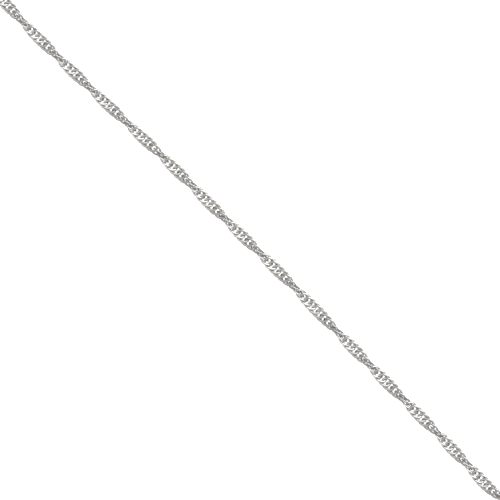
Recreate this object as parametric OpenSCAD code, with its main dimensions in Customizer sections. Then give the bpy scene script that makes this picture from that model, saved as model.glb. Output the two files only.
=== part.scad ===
// Singapore chain: a fine curb chain, twisted all the way round, closed by a spring ring clasp.
// It lies on the plane z = 0 as a long loop, with its straight front side along X.

/* [Chain] */
// Length of the fastened necklace along its middle line
necklace_l = 457.2; // [420:0.2:520]
// Width of the chain across its flat links
chain_w = 1.85; // [1.4:0.05:2.4]
// Thickness of the chain across its flat links
chain_t = 0.9; // [0.6:0.05:1.2]
// Mean length in which the chain twists by half a turn
half_turn_l = 7.08; // [6:0.02:9]

/* [Lie] */
// Length of the straight front side of the loop
front_l = 112; // [100:1:125]

/* [End rings] */
// Outer diameter of the small ring soldered to each end of the chain
end_ring_d = 2.3; // [2.1:0.05:2.8]
// Wire diameter of the end rings
end_ring_wire = 0.45; // [0.35:0.01:0.5]

/* [Jump rings] */
// Outer diameter of the jump rings
jump_ring_d = 4.4; // [4.2:0.1:5]
// Wire diameter of the jump rings
jump_ring_wire = 0.5; // [0.4:0.05:0.55]

/* [Clasp] */
// Outer diameter of the clasp's round case
case_d = 6; // [5.6:0.1:8]
// Thickness of the clasp's round case
case_t = 1.2; // [1:0.05:1.3]
// Outer diameter of the clasp's eye
eye_d = 2.4; // [2.2:0.1:3]
// Wire diameter of the clasp's eye
eye_wire = 0.5; // [0.4:0.05:0.6]
// Diameter of the thumb lever
lever_d = 0.7; // [0.5:0.05:0.9]
// Height of the thumb lever above the case
lever_h = 0.9; // [0.5:0.1:1.5]

/* [Fit] */
// Least gap between wires that are linked
link_gap = 0.1; // [0.05:0.01:0.14]

/* [Hidden] */
$fn = 48;

// Twist of the chain, as it lies: 1 is a right-hand screw, -1 a left-hand one
twist_hand = 1;
// How much more slowly the chain turns where it lies flat: 0 is an even twist
flat_lie = 0.56;

// Lengths of the half turns along the front side, from left to right, as shares of the mean one
FRONT_HALF_TURNS = [1.04, 0.93, 1.05, 0.96, 0.89, 1.04, 0.93, 1.04, 1.28, 0.93, 1.04, 0.97, 0.89];
// Place of the first edge-on point of that stretch from the middle, in mean half turns
first_edge_on = -6.68;

// Route of the front side: share of its length from the middle, and sideways shift in chain widths
FRONT_ROUTE = [
    [-0.50, 0], [-0.40, -0.16], [-0.30, -0.09], [-0.20, 0.07], [-0.14, 0.13], [-0.07, 0.11], [0.06, 0.15],
    [0.14, 0.07], [0.20, 0.01], [0.27, -0.04], [0.35, -0.05], [0.40, -0.14], [0.44, -0.21], [0.50, 0],
];

// Rings of the swept strand in each half turn
rings_per_half_turn = 6;
// Lever's place on the case, from the side where the jump ring is caught
lever_angle = 55;
silver = [0.82, 0.81, 0.79];

// Centre-line radii of the round wires
end_ring_r = (end_ring_d - end_ring_wire) / 2;
jump_ring_r = (jump_ring_d - jump_ring_wire) / 2;
eye_r = (eye_d - eye_wire) / 2;
case_r = (case_d - case_t) / 2;

// The jump rings stand on the surface, and the clasp and end rings lie on the wire of the jump rings
chain_z = chain_w / 2;
jump_ring_z = jump_ring_d / 2;
closure_z = jump_ring_wire + link_gap + case_t / 2;

// How far from a jump ring's middle a flat wire of the closure lies when it is pulled against it
function caught_x(wire) =
    sqrt(pow(jump_ring_d / 2 - jump_ring_wire - wire / 2 - link_gap, 2) - pow(jump_ring_z - closure_z, 2));

// Places along the closure, counted from the left end of the chain
left_end_ring_x = end_ring_r;
left_jump_ring_x = left_end_ring_x + end_ring_r + caught_x(end_ring_wire);
clasp_x = left_jump_ring_x + case_r;
eye_x = clasp_x + case_d / 2 - eye_wire / 2 + eye_r;
right_jump_ring_x = eye_x + eye_r + caught_x(eye_wire);
right_end_ring_x = right_jump_ring_x + caught_x(end_ring_wire) + end_ring_r;
closure_l = right_end_ring_x + end_ring_r;

// The loop: two straight sides joined by two half circles
bend_r = (necklace_l - 2 * front_l) / (2 * PI);
chain_end_s = (necklace_l - closure_l) / 2;

// Smooth curve through the route's points
function route_point(i) = FRONT_ROUTE[i];
function route_slope(i) =
    i == 0 || i == len(FRONT_ROUTE) - 1 ? 0 :
    (route_point(i + 1)[1] - route_point(i - 1)[1]) / (route_point(i + 1)[0] - route_point(i - 1)[0]);
function route_span(u, i = 0) =
    i >= len(FRONT_ROUTE) - 2 || u <= route_point(i + 1)[0] ? i : route_span(u, i + 1);
function route_shift(u) =
    let (
        i = route_span(u),
        a = route_point(i),
        b = route_point(i + 1),
        h = b[0] - a[0],
        t = (u - a[0]) / h
    )
    a[1] * (1 - 3 * t * t + 2 * t * t * t) + b[1] * (3 * t * t - 2 * t * t * t)
    + h * route_slope(i) * (t - 2 * t * t + t * t * t) + h * route_slope(i + 1) * (t * t * t - t * t);

// Point of the middle line, s along it from the middle of the front side
function route(s) =
    let (
        side = s < 0 ? -1 : 1,
        past_front = abs(s) - front_l / 2,
        past_bend = past_front - PI * bend_r,
        turn = past_front / bend_r * 180 / PI
    )
    past_front <= 0 ? [s, -bend_r + chain_w * route_shift(s / front_l)] :
    past_bend <= 0 ? [side * (front_l / 2 + bend_r * sin(turn)), -bend_r * cos(turn)] :
    [side * (front_l / 2 - past_bend), bend_r];

// Heading of the middle line, as a flat unit vector
function heading(s, step = 0.05) =
    let (d = route(s + step) - route(s - step)) d / norm(d);

// Edge-on points of the whole chain: those of the front, then even half turns out to both ends
function sum_first(list, n) = n == 0 ? 0 : list[n - 1] + sum_first(list, n - 1);
front_edge_on = [
    for (k = [0:len(FRONT_HALF_TURNS)]) half_turn_l * (first_edge_on + sum_first(FRONT_HALF_TURNS, k))
];
left_l = chain_end_s + front_edge_on[0];
right_l = chain_end_s - front_edge_on[len(front_edge_on) - 1];
left_half_turns = round(left_l / half_turn_l);
right_half_turns = round(right_l / half_turn_l);
edge_on = concat(
    [for (k = [0:left_half_turns - 1]) -chain_end_s + k * left_l / left_half_turns],
    front_edge_on,
    [for (k = [right_half_turns - 1:-1:0]) chain_end_s - k * right_l / right_half_turns]
);

// Flat section of the strand, with its corners cut
section = [
    for (q = [[1, 1], [-1, 1], [-1, -1], [1, -1]]) for (k = q[0] * q[1] > 0 ? [0, 1] : [1, 0])
        k == 0 ? [q[0] * chain_w / 2, q[1] * chain_t / 4] : [q[0] * (chain_w / 2 - chain_t / 4), q[1] * chain_t / 2]
];

// Rings of the strand: its section, turned with the twist, at equal shares of each half turn
ring_count = rings_per_half_turn * (len(edge_on) - 1) + 1;
function ring_s(i) =
    let (k = min(floor(i / rings_per_half_turn), len(edge_on) - 2), share = i / rings_per_half_turn - k)
    edge_on[k] + share * (edge_on[k + 1] - edge_on[k]);
function ring(i) =
    let (
        s = ring_s(i),
        p = route(s),
        t = heading(s),
        half_turns = i / rings_per_half_turn,
        turn = 90 + twist_hand * (180 * half_turns + flat_lie * 90 / PI * sin(360 * half_turns)),
        across = [-t[1] * cos(turn), t[0] * cos(turn), sin(turn)],
        through = [t[1] * sin(turn), -t[0] * sin(turn), cos(turn)]
    )
    [for (q = section) [p[0], p[1], chain_z] + q[0] * across + q[1] * through];
strand_points = [for (i = [0:ring_count - 1]) each ring(i)];

// Middle of the loop's box, which becomes the origin
function low(axis) = min([for (p = strand_points) p[axis]]);
function high(axis) = max([for (p = strand_points) p[axis]]);
lever_reach = (case_d / 2 + lever_h) * sin(lever_angle) + lever_d / 2;
back_reach = bend_r + max(case_d / 2, lever_reach, chain_w / 2);
middle = [(low(0) + high(0)) / 2, (low(1) + back_reach) / 2, 0];

module round_wire(r, wire) {
    rotate_extrude() translate([r, 0]) rotate(180) circle(d = wire);
}

module at_closure(x, z) {
    translate([x - closure_l / 2, bend_r, z] - middle) children();
}

module strand() {
    sides = len(section);
    walls = [
        for (i = [0:ring_count - 2]) for (k = [0:sides - 1])
            let (a = i * sides, n = (k + 1) % sides)
            each [[a + k, a + sides + k, a + n], [a + n, a + sides + k, a + sides + n]]
    ];
    first_end = [for (k = [0:sides - 1]) k];
    last_end = [for (k = [sides - 1:-1:0]) (ring_count - 1) * sides + k];
    translate(-middle) polyhedron(strand_points, concat(walls, [first_end, last_end]), 10);
}

module chain() {
    color(silver) {
        strand();
        for (x = [left_end_ring_x, right_end_ring_x]) at_closure(x, closure_z) round_wire(end_ring_r, end_ring_wire);
    }
}

module jump_ring(x) {
    color(silver) at_closure(x, jump_ring_z) rotate([90, 0, 0]) round_wire(jump_ring_r, jump_ring_wire);
}

module jump_ring_left() {
    jump_ring(left_jump_ring_x);
}

module jump_ring_right() {
    jump_ring(right_jump_ring_x);
}

module lever() {
    rotate([0, 0, 180 - lever_angle]) translate([case_r, 0, 0]) {
        rotate([0, 90, 0]) cylinder(d = lever_d, h = case_t / 2 + lever_h);
        translate([case_t / 2 + lever_h, 0, 0]) sphere(d = lever_d);
    }
}

module clasp() {
    color(silver) {
        at_closure(clasp_x, closure_z) {
            rotate([0, 0, 100]) round_wire(case_r, case_t);
            lever();
        }
        at_closure(eye_x, closure_z) round_wire(eye_r, eye_wire);
    }
}

chain();
jump_ring_left();
jump_ring_right();
clasp();
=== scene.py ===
"""Dresses a singapore chain necklace: its linked wire, the finish of its silver with painted shade deep in the chain,
and the ground it lies on.
"""

import math

import bpy
import numpy as np
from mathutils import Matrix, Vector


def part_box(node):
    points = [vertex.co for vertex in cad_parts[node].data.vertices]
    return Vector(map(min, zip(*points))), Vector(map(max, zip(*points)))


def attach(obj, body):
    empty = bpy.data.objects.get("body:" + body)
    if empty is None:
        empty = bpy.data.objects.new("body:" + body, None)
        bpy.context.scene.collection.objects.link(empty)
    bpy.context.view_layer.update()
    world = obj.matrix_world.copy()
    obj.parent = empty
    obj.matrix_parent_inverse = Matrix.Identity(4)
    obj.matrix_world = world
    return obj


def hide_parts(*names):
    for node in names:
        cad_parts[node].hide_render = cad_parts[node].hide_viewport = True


bl_info = {
    "name": "Singapore Chain",
    "version": (1, 0, 0),
    "blender": (4, 5, 0),
    "location": "View3D > Sidebar > Necklace",
    "description": "Links of a twisted curb chain, their silver, and a pale ground to lie on",
    "category": "Add Mesh",
}

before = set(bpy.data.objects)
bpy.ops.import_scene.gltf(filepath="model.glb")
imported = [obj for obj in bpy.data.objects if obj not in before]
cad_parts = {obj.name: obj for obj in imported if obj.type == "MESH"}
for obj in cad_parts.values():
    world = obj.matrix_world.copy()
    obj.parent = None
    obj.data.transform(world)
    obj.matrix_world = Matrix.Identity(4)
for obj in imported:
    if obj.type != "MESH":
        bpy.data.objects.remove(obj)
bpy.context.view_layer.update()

# Lengths of the half turns along the front side, from left to right, as shares of the mean one
FRONT_HALF_TURNS = (1.04, 0.93, 1.05, 0.96, 0.89, 1.04, 0.93, 1.04, 1.28, 0.93, 1.04, 0.97, 0.89)

# Route of the front side: share of its length from the middle, and sideways shift in chain widths
FRONT_ROUTE = np.array(
    [
        (-0.50, 0.00),
        (-0.40, -0.16),
        (-0.30, -0.09),
        (-0.20, 0.07),
        (-0.14, 0.13),
        (-0.07, 0.11),
        (0.06, 0.15),
        (0.14, 0.07),
        (0.20, 0.01),
        (0.27, -0.04),
        (0.35, -0.05),
        (0.40, -0.14),
        (0.44, -0.21),
        (0.50, 0.00),
    ]
)

# Points of a link round its loop, and round its wire, as angles from the top of the wire
LINK_STEPS = 16
WIRE_ANGLES = np.radians([40, 90, 140, 220, 270, 320])
# Depth under the chain's outer form, as a share of it, at which a link is at its roughest and at its darkest in
# painted shade
DULL_SHADE_DEPTH = 0.5
# Half width of the joint at the top of a jump ring, in metres
JOINT_WIDTH = 0.00002
# Points round an end ring, and round its wire
RING_STEPS = 40
RING_SIDES = 12
# Largest chance turn of a link in the chain, in degrees, its largest slip, in pitches, and the seed of both
CHANCE_TURN = 2.0
CHANCE_SLIP = 0.02
CHANCE_SEED = 5

# Roughness of the silver where it is polished and where it is dull, and what the scratches add
POLISHED_ROUGHNESS = 0.05
DULL_ROUGHNESS = 0.16
SCRATCH_ROUGHNESS = 0.1
# Depth of the scratches, in metres, and how strongly they show
SCRATCH_DEPTH = 6e-7
SCRATCH_STRENGTH = 0.5
# The clouds of tarnish: how much their noise is stretched, and what is then added
CLOUD_CONTRAST = 1.4
CLOUD_LIFT = -0.6

# Greys of the studio from the horizon up: height of the direction, and brightness
STUDIO_GREYS = ((0.0, 0.34), (0.35, 0.5), (0.8, 0.62), (1.0, 0.78))
# Soft lights: height in degrees, degrees from the front side towards +X, half width in degrees, brightness
SOFT_LIGHTS = ((44, -58, 15, 1.0), (35, 185, 25, 2.2))
# Where a soft light begins and ends to fade, as shares of its half width
FADE = (0.75, 1.25)
# Half side of the ground, in metres, and how far it lies below the necklace
GROUND_REACH = 2.0
GROUND_DROP = 2e-5
# The table that the camera sees, as values of its shader
WHITE_TABLE = {
    "Base Color": (0.9, 0.9, 0.9, 1),
    "Roughness": 0.9,
    "Emission Color": (1, 1, 1, 1),
    "Emission Strength": 0.8,
}
SENSOR_WIDTH = 36


class LieSettings(bpy.types.PropertyGroup):
    """How the necklace lies on its surface, as the frame has it."""

    necklace_length: bpy.props.FloatProperty(
        name="Necklace Length",
        description="Length of the fastened necklace along its middle line",
        default=0.4572,
        subtype="DISTANCE",
    )
    front_length: bpy.props.FloatProperty(
        name="Front Length",
        description="Length of the straight front side of the loop",
        default=0.112,
        subtype="DISTANCE",
    )
    half_turn: bpy.props.FloatProperty(
        name="Half Turn",
        description="Mean length in which the chain twists by half a turn",
        default=0.00708,
        precision=5,
        subtype="DISTANCE",
    )
    first_edge_on: bpy.props.FloatProperty(
        name="First Edge-on Point",
        description="Place of the leftmost edge-on point of the front from its middle, in mean half turns",
        default=-6.68,
    )
    flat_lie: bpy.props.FloatProperty(
        name="Flat Lie",
        description="How much more slowly the chain turns where it lies flat: 0 is an even twist",
        default=0.56,
        min=0,
        max=1,
    )


class LinkSettings(bpy.types.PropertyGroup):
    """Sizes of one link and of the ring soldered to each end."""

    chain_width: bpy.props.FloatProperty(
        name="Chain Width",
        description="Width of a link across the chain",
        default=0.00185,
        precision=5,
        subtype="DISTANCE",
    )
    chain_thickness: bpy.props.FloatProperty(
        name="Chain Thickness",
        description="Thickness of the chain across its flat links",
        default=0.0009,
        precision=5,
        subtype="DISTANCE",
    )
    link_length: bpy.props.FloatProperty(
        name="Link Length",
        description="Length of a link along the chain",
        default=0.00239,
        precision=5,
        subtype="DISTANCE",
    )
    link_pitch: bpy.props.FloatProperty(
        name="Link Pitch",
        description="Distance from one link to the next",
        default=0.000822,
        precision=6,
        subtype="DISTANCE",
    )
    link_shift: bpy.props.FloatProperty(
        name="Link Shift",
        description="Place of a link's middle from the middle of the front side, in link pitches",
        default=0.4,
        min=-1,
        max=1,
    )
    link_wire: bpy.props.FloatProperty(
        name="Link Wire",
        description="Thickness of the wire that the links are bent from, where one link passes over another",
        default=0.00023,
        precision=5,
        subtype="DISTANCE",
    )
    link_wire_width: bpy.props.FloatProperty(
        name="Link Wire Width",
        description="Width of that wire, which the chain's rolling has flattened",
        default=0.00036,
        precision=5,
        subtype="DISTANCE",
    )
    link_bend: bpy.props.FloatProperty(
        name="Link Bend",
        description="Angle between the two ends of a link, which is bent out of its plane to lie flat in the chain",
        default=math.radians(29),
        subtype="ANGLE",
    )
    bend_evenness: bpy.props.FloatProperty(
        name="Bend Evenness",
        description="How evenly the bend runs along a link: 1 is even, and more keeps its middle flatter",
        default=0.72,
        min=0.4,
        max=3,
    )
    link_squareness: bpy.props.FloatProperty(
        name="Link Squareness",
        description="Exponent of the link's oval: 1 is an ellipse, less is squarer and more is more pointed",
        default=1.09,
        min=0.4,
        max=1.2,
    )
    link_slant: bpy.props.FloatProperty(
        name="Link Slant",
        description="Angle between a link's length and the chain's",
        default=math.radians(-1.0),
        subtype="ANGLE",
    )
    end_ring_diameter: bpy.props.FloatProperty(
        name="End Ring Diameter",
        description="Outer diameter of the ring soldered to each end of the chain",
        default=0.0023,
        precision=5,
        subtype="DISTANCE",
    )
    end_ring_wire: bpy.props.FloatProperty(
        name="End Ring Wire",
        description="Wire diameter of the end rings",
        default=0.00045,
        precision=5,
        subtype="DISTANCE",
    )


class SilverSettings(bpy.types.PropertyGroup):
    """Colours of the silver, one of them the darker silver of tarnish and of painted shade, and size of its wear."""

    bright: bpy.props.FloatVectorProperty(
        name="Bright Silver",
        description="Colour of polished silver",
        default=(0.81, 0.8, 0.79),
        size=3,
        subtype="COLOR",
        min=0,
        max=1,
    )
    # Darker silver that tarnish, the rings' joints and the painted shade deep in the chain mix towards
    shaded_tarnished: bpy.props.FloatVectorProperty(
        name="Shaded Tarnished Silver",
        description="Colour of the silver in the recesses, darkened as painted shade, and of its tarnish",
        default=(0.62, 0.61, 0.59),
        size=3,
        subtype="COLOR",
        min=0,
        max=1,
    )
    tarnish_size: bpy.props.FloatProperty(
        name="Tarnish Size",
        description="Size of the faint clouds of tarnish",
        default=0.0007,
        precision=5,
        subtype="DISTANCE",
    )
    scratch_size: bpy.props.FloatProperty(
        name="Scratch Size",
        description="Width of the finest scratches of polishing and wear",
        default=0.00004,
        precision=6,
        subtype="DISTANCE",
    )


class StageSettings(bpy.types.PropertyGroup):
    """The ground and the camera."""

    ground_grey: bpy.props.FloatProperty(
        name="Ground Grey",
        description="How bright the ground is in the silver's reflections",
        default=0.38,
        min=0,
        max=1,
    )
    lens: bpy.props.FloatProperty(
        name="Lens", description="Focal length of the camera", default=200, min=20, max=400, unit="CAMERA"
    )
    field: bpy.props.FloatProperty(
        name="Field",
        description="Side of the square that the camera takes in at the chain's height",
        default=0.0732,
        subtype="DISTANCE",
    )
    roll: bpy.props.FloatProperty(
        name="Roll",
        description="Angle at which the front side falls from left to right in the picture",
        default=math.radians(44.91),
        subtype="ANGLE",
    )
    aim: bpy.props.FloatVectorProperty(
        name="Aim",
        description="Place that the camera looks at, along and across from the middle of the front side",
        default=(0.00006, -0.00045),
        size=2,
        precision=5,
        unit="LENGTH",
    )


def smooth_shift(share):
    """Sideways shift of the front side: a cubic through each pair of route points, with the slope at a point taken
    from the line between its two neighbours, and no slope at the ends."""
    at = FRONT_ROUTE[:, 0]
    shift = FRONT_ROUTE[:, 1]
    slope = np.zeros(len(at))
    slope[1:-1] = (shift[2:] - shift[:-2]) / (at[2:] - at[:-2])
    i = np.clip(np.searchsorted(at, share) - 1, 0, len(at) - 2)
    h = at[i + 1] - at[i]
    t = np.clip((share - at[i]) / h, 0, 1)
    rise = t * t * (3 - 2 * t)
    return (
        shift[i] * (1 - rise)
        + shift[i + 1] * rise
        + h * slope[i] * t * (1 - t) ** 2
        - h * slope[i + 1] * t * t * (1 - t)
    )


class Lie:
    """The middle line of the necklace and its twist, from the settings and from where the frame's rings stand."""

    def __init__(self, lie, link):
        left_low, left_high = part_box("jump_ring_left")
        right_low, right_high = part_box("jump_ring_right")
        clasp_low, clasp_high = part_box("clasp")
        self.width = link.chain_width
        self.front = lie.front_length
        self.half_turn = lie.half_turn
        self.flat_lie = lie.flat_lie
        self.bend_r = (lie.necklace_length - 2 * lie.front_length) / (2 * math.pi)
        self.middle_x = (left_low[0] + right_high[0]) / 2
        self.back_y = (left_low[1] + left_high[1]) / 2
        self.chain_z = link.chain_width / 2
        self.closure_z = (clasp_low[2] + clasp_high[2]) / 2
        self.end_ring_r = (link.end_ring_diameter - link.end_ring_wire) / 2
        # The clasp lies one jump ring wire and one gap above the ground, and an end ring is caught as far inside
        jump_ring_r = (left_high[0] - left_low[0]) / 2
        reach = jump_ring_r - clasp_low[2] - link.end_ring_wire / 2
        caught = math.sqrt(reach**2 - (jump_ring_r - self.closure_z) ** 2)
        rings_apart = (right_low[0] + right_high[0] - left_low[0] - left_high[0]) / 2
        self.end_ring_x = rings_apart / 2 + caught + self.end_ring_r
        self.end_s = math.pi * self.bend_r + self.front - self.end_ring_x - self.end_ring_r
        self.edge_on = self.edge_on_points(lie.first_edge_on)

    def edge_on_points(self, first):
        """Distances along the chain at which it stands on edge: those of the front, then even half turns outwards."""
        front = self.half_turn * (first + np.cumsum((0,) + FRONT_HALF_TURNS))
        left = self.end_s + front[0]
        right = self.end_s - front[-1]
        left_count = round(left / self.half_turn)
        right_count = round(right / self.half_turn)
        return np.concatenate(
            [
                -self.end_s + left / left_count * np.arange(left_count),
                front,
                front[-1] + right / right_count * np.arange(1, right_count + 1),
            ]
        )

    def point(self, s):
        """Points of the middle line at distances s from the middle of the front side: a straight side with its small
        shifts, a half circle at each end, and a straight back."""
        past_front = np.abs(s) - self.front / 2
        past_bend = past_front - math.pi * self.bend_r
        side = np.sign(s)
        turn = past_front / self.bend_r
        on_front = past_front <= 0
        on_bend = ~on_front & (past_bend <= 0)
        x = np.where(on_front, s, np.where(on_bend, side * (self.front / 2 + self.bend_r * np.sin(turn)), 0))
        x = np.where(past_bend > 0, side * (self.front / 2 - past_bend), x)
        shift = self.width * smooth_shift(np.clip(s / self.front, -0.5, 0.5))
        y = np.where(on_front, -self.bend_r + shift, np.where(on_bend, -self.bend_r * np.cos(turn), self.bend_r))
        return np.stack([x + self.middle_x, y + self.back_y - self.bend_r], -1)

    def heading(self, s):
        """Flat unit vectors along the middle line."""
        step = 5e-5
        d = self.point(s + step) - self.point(s - step)
        return d / np.linalg.norm(d, axis=-1, keepdims=True)

    def turn(self, s):
        """Angle of the flat links about the middle line: upright at each edge-on point, and a right-hand screw
        between, which is slowest where the links lie flat."""
        half_turns = np.interp(s, self.edge_on, np.arange(len(self.edge_on)))
        return math.pi / 2 + math.pi * half_turns + self.flat_lie / 2 * np.sin(2 * math.pi * half_turns)


def wire_ring(line, thickness, width, angles):
    """Points round a closed wire: at each point of its middle line, an oval section square to it, whose angles are
    counted from the link's upper side."""
    ahead = np.roll(line, -1, 0) - np.roll(line, 1, 0)
    ahead /= np.linalg.norm(ahead, axis=1, keepdims=True)
    side = np.cross(np.array([0.0, 0.0, 1.0]), ahead)
    side /= np.linalg.norm(side, axis=1, keepdims=True)
    up = np.cross(ahead, side)
    up = thickness / 2 * np.cos(angles)[None, :, None] * up[:, None]
    return line[:, None] + up + width / 2 * np.sin(angles)[None, :, None] * side[:, None]


def link_line(link, t):
    """Middle line of a link's wire: an oval, x = a cos t along the chain and b sin t across it, whose crosswise
    direction turns from one end to the other by the link's bend."""
    along = np.sign(np.cos(t)) * np.abs(np.cos(t)) ** link.link_squareness
    across = np.sign(np.sin(t)) * np.abs(np.sin(t)) ** link.link_squareness
    turn = -link.link_bend / 2 * np.sign(along) * np.abs(along) ** link.bend_evenness
    along *= (link.link_length - link.link_wire_width) / 2
    across *= (link.chain_width - link.link_wire_width) / 2
    x = along * math.cos(link.link_slant) - across * np.cos(turn) * math.sin(link.link_slant)
    y = along * math.sin(link.link_slant) + across * np.cos(turn) * math.cos(link.link_slant)
    return np.stack([x, y, across * np.sin(turn)], -1)


def link_angles(link):
    """Values of t that share out the link's length and its bends evenly."""
    t = np.linspace(0, 2 * math.pi, 721)
    step = np.diff(link_line(link, t), axis=0)
    length = np.linalg.norm(step, axis=1)
    ahead = step / length[:, None]
    bend = np.arccos(np.clip((ahead * np.roll(ahead, -1, 0)).sum(1), -1, 1))
    share = np.concatenate([[0], np.cumsum(length / length.sum() + bend / bend.sum())])
    return np.interp(share[-1] * np.arange(LINK_STEPS) / LINK_STEPS, share, t)


def link_surface(link):
    """One link, as a grid of points round its loop and round its wire, which is a hexagon, its faces, and how deep
    each point lies in the chain: 0 on the chain's outer form and 1 where it is deep inside."""
    line = link_line(link, link_angles(link))
    points = wire_ring(line, link.link_wire, link.link_wire_width, WIRE_ANGLES)
    faces = grid_faces(*points.shape[:2])
    # How deep a point lies is the mask that makes the silver rougher and paints shade on it deep in the chain
    outwards = np.maximum(
        np.abs(points[..., 1]) / (link.chain_width / 2), np.abs(points[..., 2]) / (link.chain_thickness / 2)
    )
    depth = np.clip((1 - outwards) / DULL_SHADE_DEPTH, 0, 1)
    return points, faces, depth * depth * (3 - 2 * depth)


def grid_faces(rows, columns):
    """Quads of a surface that closes in both directions, as indices into its points taken row by row. On a link
    and on a ring they face outwards."""
    i, j = np.meshgrid(np.arange(rows), np.arange(columns), indexing="ij")
    i_next = (i + 1) % rows
    j_next = (j + 1) % columns
    corners = [i_next * columns + j, i_next * columns + j_next, i * columns + j_next, i * columns + j]
    return np.stack(corners, -1).reshape(-1, 4)


def ring_surface(centre, r, wire, steps=RING_STEPS, sides=RING_SIDES):
    """A flat ring of round wire: a circle carried round a circle, as points and quads."""
    t = 2 * math.pi * np.arange(steps)[:, None] / steps
    c = 2 * math.pi * np.arange(sides)[None, :] / sides
    reach = r + wire / 2 * np.cos(c)
    points = np.stack([reach * np.cos(t), reach * np.sin(t), wire / 2 * np.sin(c) + 0 * t], -1)
    return (points + np.asarray(centre)).reshape(-1, 3), grid_faces(steps, sides)


def mesh_object(name, points, faces, material):
    """A new smooth mesh object at the origin from arrays of points and quads."""
    mesh = bpy.data.meshes.new(name)
    mesh.vertices.add(len(points))
    mesh.vertices.foreach_set("co", np.asarray(points, np.float32).ravel())
    mesh.loops.add(faces.size)
    mesh.loops.foreach_set("vertex_index", faces.astype(np.int32).ravel())
    mesh.polygons.add(len(faces))
    mesh.polygons.foreach_set("loop_start", np.arange(0, faces.size, 4, dtype=np.int32))
    mesh.polygons.foreach_set("use_smooth", np.ones(len(faces), bool))
    mesh.materials.append(material)
    mesh.update(calc_edges=True)
    mesh.validate()
    obj = bpy.data.objects.new(name, mesh)
    bpy.context.scene.collection.objects.link(obj)
    return obj


def add_node(tree, kind, inputs=None, **settings):
    """A new node with its settings, each of whose given inputs is linked to a socket or set to a value."""
    node = tree.nodes.new(kind)
    for name, value in settings.items():
        setattr(node, name, value)
    for name, value in (inputs or {}).items():
        if isinstance(value, bpy.types.NodeSocket):
            tree.links.new(value, node.inputs[name])
        else:
            node.inputs[name].default_value = value
    return node


def calculate(tree, operation, *values):
    """Output of a new math node, held between 0 and 1."""
    return add_node(tree, "ShaderNodeMath", dict(enumerate(values)), operation=operation, use_clamp=True).outputs[0]


def blend(tree, factor, low, high):
    """Output of a new node that goes from the low value to the high one with the factor."""
    return add_node(tree, "ShaderNodeMapRange", {"Value": factor, "To Min": low, "To Max": high}).outputs[0]


SILVER_INPUTS = {
    "Place": "NodeSocketVector",
    "Depth": "NodeSocketFloat",
    "Bright": "NodeSocketColor",
    "Shaded Tarnished": "NodeSocketColor",
    "Tarnish Scale": "NodeSocketFloat",
    "Scratch Scale": "NodeSocketFloat",
}
SILVER_OUTPUTS = {"Colour": "NodeSocketColor", "Roughness": "NodeSocketFloat", "Height": "NodeSocketFloat"}


def silver_group():
    """Node group of the silver's wear and painted shade: rougher, and painted darker as shade, in its depths, faintly
    clouded where it has tarnished, and finely scratched where it was polished."""
    if "silver_wear_and_shade" in bpy.data.node_groups:
        return bpy.data.node_groups["silver_wear_and_shade"]
    group = bpy.data.node_groups.new("silver_wear_and_shade", "ShaderNodeTree")
    for name, kind in SILVER_INPUTS.items():
        group.interface.new_socket(name, in_out="INPUT", socket_type=kind)
    for name, kind in SILVER_OUTPUTS.items():
        group.interface.new_socket(name, in_out="OUTPUT", socket_type=kind)
    given = add_node(group, "NodeGroupInput").outputs
    place = given["Place"]
    clouds = add_node(group, "ShaderNodeTexNoise", {"Vector": place, "Scale": given["Tarnish Scale"], "Detail": 4})
    grain = add_node(group, "ShaderNodeTexNoise", {"Vector": place, "Scale": given["Scratch Scale"], "Detail": 3})
    fine = grain.outputs[0]
    cloud = calculate(group, "MULTIPLY_ADD", clouds.outputs[0], CLOUD_CONTRAST, CLOUD_LIFT)
    # On the links their depth, and on the rings their joint lines, with the tarnish clouds make the silver rougher
    # and darker; the darkening with depth is painted shade
    dullness_and_shade = calculate(group, "ADD", given["Depth"], cloud)
    worn = blend(group, dullness_and_shade, POLISHED_ROUGHNESS, DULL_ROUGHNESS)
    roughness = calculate(group, "MULTIPLY_ADD", fine, SCRATCH_ROUGHNESS, worn)
    # Colour: bright silver mixed towards the darker one, which deep in the chain is painted shade and elsewhere
    # tarnish and joints
    colour = add_node(
        group,
        "ShaderNodeMix",
        {"Factor": dullness_and_shade, "A": given["Bright"], "B": given["Shaded Tarnished"]},
        data_type="RGBA",
    )
    results = {"Colour": colour.outputs["Result"], "Roughness": roughness, "Height": fine}
    add_node(group, "NodeGroupOutput", results)
    return group


def silver_material(name, depth_name=None):
    """Silver with its wear and painted shade. Its depth is read from the attribute of the given name, or else is
    none.
    """
    silver = bpy.context.scene.silver_settings
    material = bpy.data.materials.new(name)
    material.use_nodes = True
    tree = material.node_tree
    values = {
        "Place": add_node(tree, "ShaderNodeTexCoord").outputs["Object"],
        "Bright": (*silver.bright, 1),
        "Shaded Tarnished": (*silver.shaded_tarnished, 1),
        "Tarnish Scale": 1 / silver.tarnish_size,
        "Scratch Scale": 1 / silver.scratch_size,
    }
    if depth_name:
        # The depth attribute makes the silver rougher and darkens it as painted shade
        values["Depth"] = add_node(tree, "ShaderNodeAttribute", attribute_name=depth_name).outputs["Fac"]
    wear = add_node(tree, "ShaderNodeGroup", values, node_tree=silver_group(), name="wear").outputs
    scratches = {"Strength": SCRATCH_STRENGTH, "Distance": SCRATCH_DEPTH, "Height": wear["Height"]}
    bump = add_node(tree, "ShaderNodeBump", scratches)
    shader = tree.nodes["Principled BSDF"]
    # Base colour, with painted shade in the depths
    tree.links.new(wear["Colour"], shader.inputs["Base Color"])
    tree.links.new(wear["Roughness"], shader.inputs["Roughness"])
    tree.links.new(bump.outputs[0], shader.inputs["Normal"])
    shader.inputs["Metallic"].default_value = 1
    return material


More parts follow.
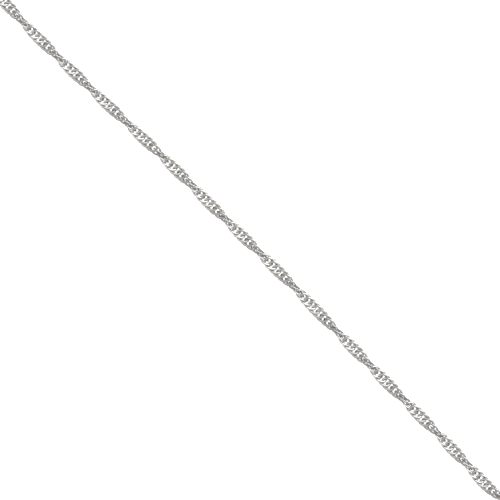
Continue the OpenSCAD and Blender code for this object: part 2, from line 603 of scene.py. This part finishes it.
def joint_lines(material, rings):
    """Dulls a thin line across the top of each jump ring, where the ends of its wire meet."""
    tree = material.node_tree
    place = add_node(tree, "ShaderNodeTexCoord").outputs["Object"]
    split = add_node(tree, "ShaderNodeSeparateXYZ", {"Vector": place}).outputs
    lines = 0.0
    for node in rings:
        low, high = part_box(node)
        middle = (low[0] + high[0]) / 2
        line = add_node(tree, "ShaderNodeMath", {0: split["X"], 1: middle, 2: JOINT_WIDTH}, operation="COMPARE")
        lines = calculate(tree, "ADD", lines, line.outputs[0])
    above = calculate(tree, "GREATER_THAN", split["Z"], (low[2] + high[2]) / 2)
    tree.links.new(calculate(tree, "MULTIPLY", lines, above), tree.nodes["wear"].inputs["Depth"])


class NECKLACE_OT_chain_links(bpy.types.Operator):
    """Lay the linked wire of the chain along the necklace's middle line"""

    bl_idname = "necklace.chain_links"
    bl_label = "Chain Links"

    def execute(self, context):
        scene = context.scene
        link = scene.link_settings
        lie = Lie(scene.lie_settings, link)
        surface, faces, depth = link_surface(link)
        reach = lie.end_s - (link.link_length - link.link_wire_width) / 2
        first = math.ceil(-reach / link.link_pitch - 0.5 - link.link_shift)
        last = math.floor(reach / link.link_pitch + 0.5 - link.link_shift)
        count = last - first + 1
        chance = np.random.default_rng(CHANCE_SEED)
        slip = CHANCE_SLIP * chance.uniform(-1, 1, count)
        s = link.link_pitch * (np.arange(first, last + 1) + link.link_shift + slip)
        middle = lie.point(s)
        ahead = lie.heading(s)
        turn = lie.turn(s) + math.radians(CHANCE_TURN) * chance.uniform(-1, 1, count)
        flat = np.zeros(count)
        along = np.stack([ahead[:, 0], ahead[:, 1], flat], -1)
        across = np.stack([-ahead[:, 1] * np.cos(turn), ahead[:, 0] * np.cos(turn), np.sin(turn)], -1)
        through = np.stack([ahead[:, 1] * np.sin(turn), -ahead[:, 0] * np.sin(turn), np.cos(turn)], -1)
        centre = np.stack([middle[:, 0], middle[:, 1], flat + lie.chain_z], -1)
        axes = np.stack([along, across, through], 1)
        points = (np.einsum("ijk,nkm->nijm", surface, axes) + centre[:, None, None]).reshape(-1, 3)
        faces = (faces + depth.size * np.arange(count)[:, None, None]).reshape(-1, 4)
        depth = np.tile(depth.ravel(), count)
        for end in (-1, 1):
            ring_centre = (lie.middle_x + end * lie.end_ring_x, lie.back_y, lie.closure_z)
            ring_points, ring_faces = ring_surface(ring_centre, lie.end_ring_r, link.end_ring_wire)
            faces = np.concatenate([faces, ring_faces + len(points)])
            points = np.concatenate([points, ring_points])
            depth = np.concatenate([depth, np.zeros(len(ring_points))])
        # The depth attribute makes the links' silver rougher and darkens it as painted shade deep in the chain
        obj = mesh_object("chain_links", points, faces, silver_material("chain_silver", "depth"))
        attribute = obj.data.attributes.new("depth", "FLOAT", "POINT")
        attribute.data.foreach_set("value", depth.astype(np.float32))
        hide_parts("chain")
        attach(obj, "root")
        return {"FINISHED"}


class NECKLACE_OT_findings(bpy.types.Operator):
    """Give the jump rings and the clasp their silver"""

    bl_idname = "necklace.findings"
    bl_label = "Rings and Clasp"

    def execute(self, context):
        material = silver_material("finding_silver")
        joint_lines(material, ("jump_ring_left", "jump_ring_right"))
        for node in ("jump_ring_left", "jump_ring_right", "clasp"):
            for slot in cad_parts[node].material_slots:
                slot.material = material
        return {"FINISHED"}


class NECKLACE_OT_stage(bpy.types.Operator):
    """Set up the pale ground, the light and the camera"""

    bl_idname = "necklace.stage"
    bl_label = "Ground, Light and Camera"

    def execute(self, context):
        scene = context.scene
        corners = np.array([(x, y, -GROUND_DROP) for x, y in ((-1, -1), (1, -1), (1, 1), (-1, 1))])
        corners[:, :2] *= GROUND_REACH
        material = ground_material(scene.stage_settings.ground_grey)
        mesh_object("ground", corners, np.array([[0, 1, 2, 3]]), material)
        make_world(scene)
        make_camera(scene, Lie(scene.lie_settings, scene.link_settings))
        scene.view_settings.view_transform = "Standard"
        return {"FINISHED"}


def choose_for_camera(tree, mirrored, seen, output):
    """Ends a tree with one shader for what the camera sees directly, and one for everything else."""
    path = add_node(tree, "ShaderNodeLightPath").outputs["Is Camera Ray"]
    mix = add_node(tree, "ShaderNodeMixShader", {0: path, 1: mirrored.outputs[0], 2: seen.outputs[0]})
    add_node(tree, output, {"Surface": mix.outputs[0]})


def ground_material(grey):
    """A lit white table to look at, which the silver mirrors as a grey one."""
    ground = bpy.data.materials.new("white_ground")
    ground.use_nodes = True
    tree = ground.node_tree
    tree.nodes.clear()
    seen = add_node(tree, "ShaderNodeBsdfPrincipled", WHITE_TABLE)
    mirrored = add_node(tree, "ShaderNodeEmission", {"Strength": grey})
    choose_for_camera(tree, mirrored, seen, "ShaderNodeOutputMaterial")
    return ground


def make_world(scene):
    """A soft studio: greys that follow the height of a direction, with a soft light on each side."""
    world = bpy.data.worlds.new("studio")
    scene.world = world
    world.use_nodes = True
    tree = world.node_tree
    tree.nodes.clear()
    direction = add_node(tree, "ShaderNodeTexCoord").outputs["Generated"]
    height = add_node(tree, "ShaderNodeSeparateXYZ", {"Vector": direction}).outputs["Z"]
    greys = add_node(tree, "ShaderNodeValToRGB", {"Fac": height})
    stops = greys.color_ramp.elements
    while len(stops) < len(STUDIO_GREYS):
        stops.new(0.5)
    for stop, (at, grey) in zip(stops, STUDIO_GREYS):
        stop.position = at
        stop.color = (grey, grey, grey, 1)
    total = greys.outputs[0]
    for rise, around, spread, strength in SOFT_LIGHTS:
        up = math.radians(rise)
        turn = math.radians(around)
        towards = (math.sin(turn) * math.cos(up), -math.cos(turn) * math.cos(up), math.sin(up))
        dot = add_node(tree, "ShaderNodeVectorMath", {0: direction, 1: towards}, operation="DOT_PRODUCT")
        outer = math.cos(math.radians(FADE[1] * spread))
        inner = math.cos(math.radians(FADE[0] * spread))
        soft = add_node(
            tree,
            "ShaderNodeMapRange",
            {"Value": dot.outputs["Value"], "From Min": outer, "From Max": inner, "To Max": strength},
            interpolation_type="SMOOTHSTEP",
        ).outputs["Result"]
        total = add_node(
            tree, "ShaderNodeMix", {"Factor": 1, "A": total, "B": soft}, data_type="RGBA", blend_type="ADD"
        ).outputs["Result"]
    mirrored = add_node(tree, "ShaderNodeBackground", {"Color": total})
    seen = add_node(tree, "ShaderNodeBackground", {"Color": (1, 1, 1, 1)})
    choose_for_camera(tree, mirrored, seen, "ShaderNodeOutputWorld")


def make_camera(scene, lie):
    """A camera straight above the front side, rolled so that the chain falls from left to right."""
    stage = scene.stage_settings
    data = bpy.data.cameras.new("camera")
    data.lens = stage.lens
    data.sensor_width = SENSOR_WIDTH
    data.sensor_fit = "HORIZONTAL"
    data.clip_start = 0.01
    data.clip_end = 20
    camera = bpy.data.objects.new("camera", data)
    scene.collection.objects.link(camera)
    x = lie.middle_x + stage.aim[0]
    y = lie.back_y - 2 * lie.bend_r + stage.aim[1]
    camera.location = (x, y, lie.chain_z + stage.field * stage.lens / data.sensor_width)
    camera.rotation_euler = (0, 0, stage.roll)
    scene.camera = camera


class NECKLACE_PT_panel(bpy.types.Panel):
    """Steps that build the necklace"""

    bl_idname = "NECKLACE_PT_panel"
    bl_label = "Singapore Chain"
    bl_space_type = "VIEW_3D"
    bl_region_type = "UI"
    bl_category = "Necklace"

    def draw(self, context):
        for operator in OPERATORS:
            self.layout.operator(operator.bl_idname)
        for name, settings in SETTINGS.items():
            for key in settings.__annotations__:
                self.layout.prop(getattr(context.scene, name), key)


SETTINGS = {
    "lie_settings": LieSettings,
    "link_settings": LinkSettings,
    "silver_settings": SilverSettings,
    "stage_settings": StageSettings,
}
OPERATORS = (NECKLACE_OT_chain_links, NECKLACE_OT_findings, NECKLACE_OT_stage)


def register():
    for name, settings in SETTINGS.items():
        bpy.utils.register_class(settings)
        setattr(bpy.types.Scene, name, bpy.props.PointerProperty(type=settings))
    for operator in OPERATORS:
        bpy.utils.register_class(operator)
    bpy.utils.register_class(NECKLACE_PT_panel)


def unregister():
    bpy.utils.unregister_class(NECKLACE_PT_panel)
    for operator in reversed(OPERATORS):
        bpy.utils.unregister_class(operator)
    for name, settings in reversed(SETTINGS.items()):
        delattr(bpy.types.Scene, name)
        bpy.utils.unregister_class(settings)


def main():
    register()
    bpy.ops.necklace.chain_links()
    bpy.ops.necklace.findings()
    bpy.ops.necklace.stage()


if __name__ == "__main__":
    main()
